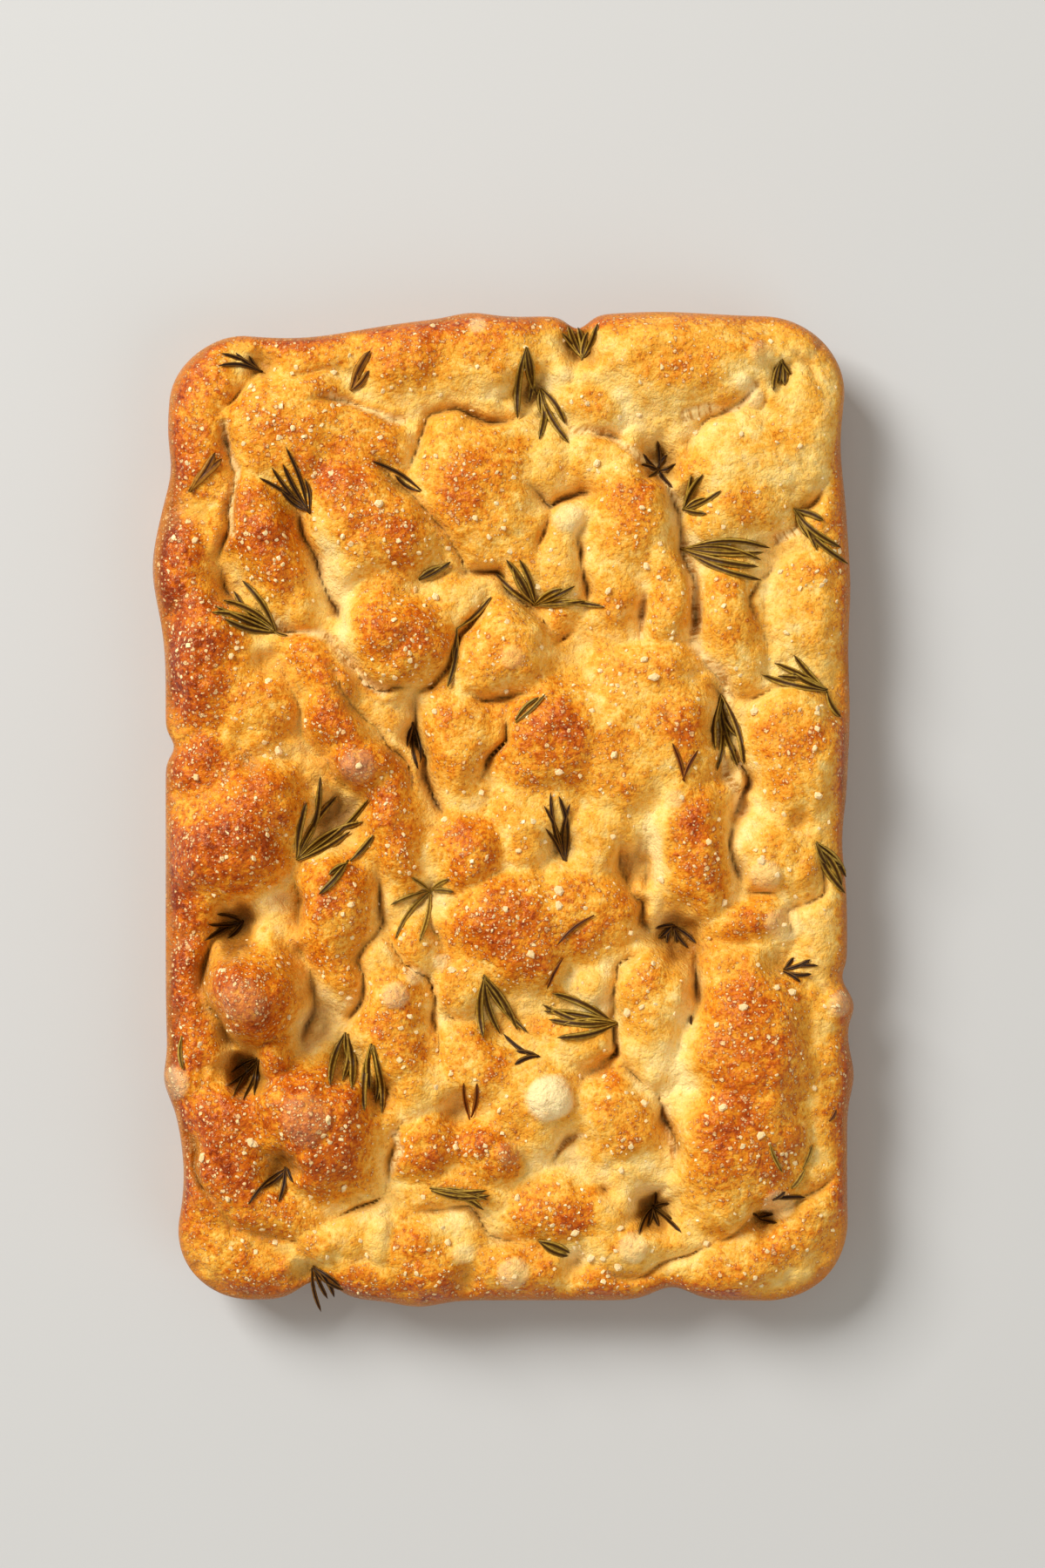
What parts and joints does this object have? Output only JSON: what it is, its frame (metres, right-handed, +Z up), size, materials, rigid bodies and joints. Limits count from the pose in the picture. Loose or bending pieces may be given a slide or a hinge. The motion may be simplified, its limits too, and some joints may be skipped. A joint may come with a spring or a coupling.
{
  "type": "rosemary focaccia",
  "caption": "Whole slab of dimpled, golden-brown flatbread with rounded corners, coarse salt baked on and rosemary sprigs pressed into the dimples.",
  "frame": {"origin": "middle of the underside of the box that holds bread and rosemary", "axes": "+X across the bread, +Y along it, +Z up out of the crust"},
  "size_m": [0.216, 0.308, 0.0477],
  "materials": {
    "crust": "oiled golden-brown crust",
    "rosemary_olive": "dried olive leaf",
    "rosemary_dark": "scorched leaf",
    "rosemary_brown": "reddish-brown leaf",
    "rosemary_pale": "pale dry leaf",
    "rosemary_broad": "wide brown leaf"
  },
  "bodies": {
    "root": {"bread": "crust", "rosemary_01": "rosemary_dark", "rosemary_02": "rosemary_broad", "rosemary_03": "rosemary_olive", "rosemary_04": "rosemary_olive", "rosemary_05": "rosemary_olive", "rosemary_06": "rosemary_olive", "rosemary_07": "rosemary_broad", "rosemary_08": "rosemary_dark", "rosemary_09": "rosemary_dark", "rosemary_10": "rosemary_dark", "rosemary_11": "rosemary_olive", "rosemary_12": "rosemary_olive", "rosemary_13": "rosemary_olive", "rosemary_14": "rosemary_olive", "rosemary_15": "rosemary_olive", "rosemary_16": "rosemary_olive", "rosemary_17": "rosemary_olive", "rosemary_18": "rosemary_olive", "rosemary_19": "rosemary_olive", "rosemary_20": "rosemary_dark", "rosemary_21": "rosemary_pale", "rosemary_22": "rosemary_brown", "rosemary_23": "rosemary_olive", "rosemary_24": "rosemary_olive", "rosemary_25": "rosemary_dark", "rosemary_26": "rosemary_pale", "rosemary_27": "rosemary_olive", "rosemary_28": "rosemary_dark", "rosemary_29": "rosemary_brown", "rosemary_30": "rosemary_brown", "rosemary_31": "rosemary_dark", "rosemary_32": "rosemary_dark", "rosemary_33": "rosemary_olive", "rosemary_34": "rosemary_dark", "rosemary_35": "rosemary_olive", "rosemary_36": "rosemary_dark", "rosemary_37": "rosemary_olive", "rosemary_38": "rosemary_olive", "rosemary_39": "rosemary_brown", "rosemary_40": "rosemary_dark", "rosemary_41": "rosemary_olive", "rosemary_42": "rosemary_olive", "rosemary_43": "rosemary_dark", "rosemary_44": "rosemary_pale", "rosemary_45": "rosemary_pale", "rosemary_46": "rosemary_dark", "rosemary_47": "rosemary_dark", "rosemary_48": "rosemary_dark", "rosemary_49": "rosemary_pale", "rosemary_50": "rosemary_brown", "rosemary_51": "rosemary_dark"}
  },
  "joints": []
}
